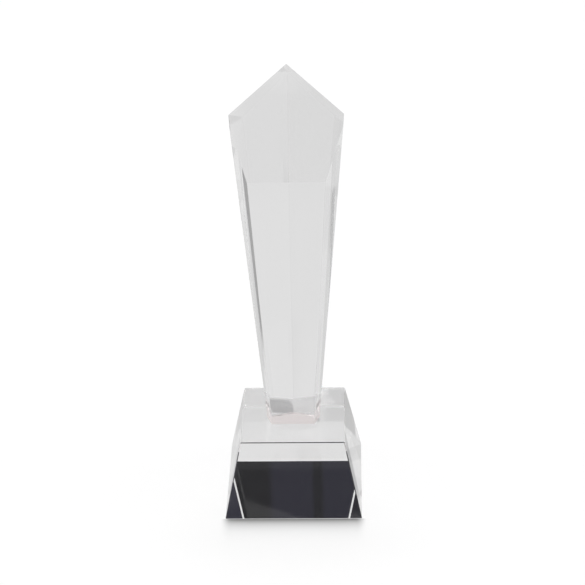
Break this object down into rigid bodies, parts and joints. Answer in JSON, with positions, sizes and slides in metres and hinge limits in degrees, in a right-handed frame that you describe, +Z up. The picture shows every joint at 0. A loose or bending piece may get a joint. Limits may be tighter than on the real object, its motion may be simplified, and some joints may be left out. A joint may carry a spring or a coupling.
{
  "type": "crystal award",
  "caption": "Faceted clear crystal tower, wider at its top and cut off by one slope, bonded upright to a clear crystal block that narrows upwards.",
  "frame": {"origin": "centre of the underside of the square base, on the surface that the award stands on", "axes": "+Z up along the tower, -Y towards the viewer of the flat front face, +X to that viewer's right"},
  "size_m": [0.07, 0.07, 0.2276],
  "materials": {
    "base_crystal": "polished optical crystal, clear, with narrow polished edges",
    "adhesive": "cured clear adhesive with a faint warm tint",
    "tower_crystal": "polished optical crystal, clear, with narrow polished edges"
  },
  "bodies": {
    "root": {"crystal_base": "base_crystal", "bond_film": "adhesive", "crystal_tower": "tower_crystal"}
  },
  "joints": []
}
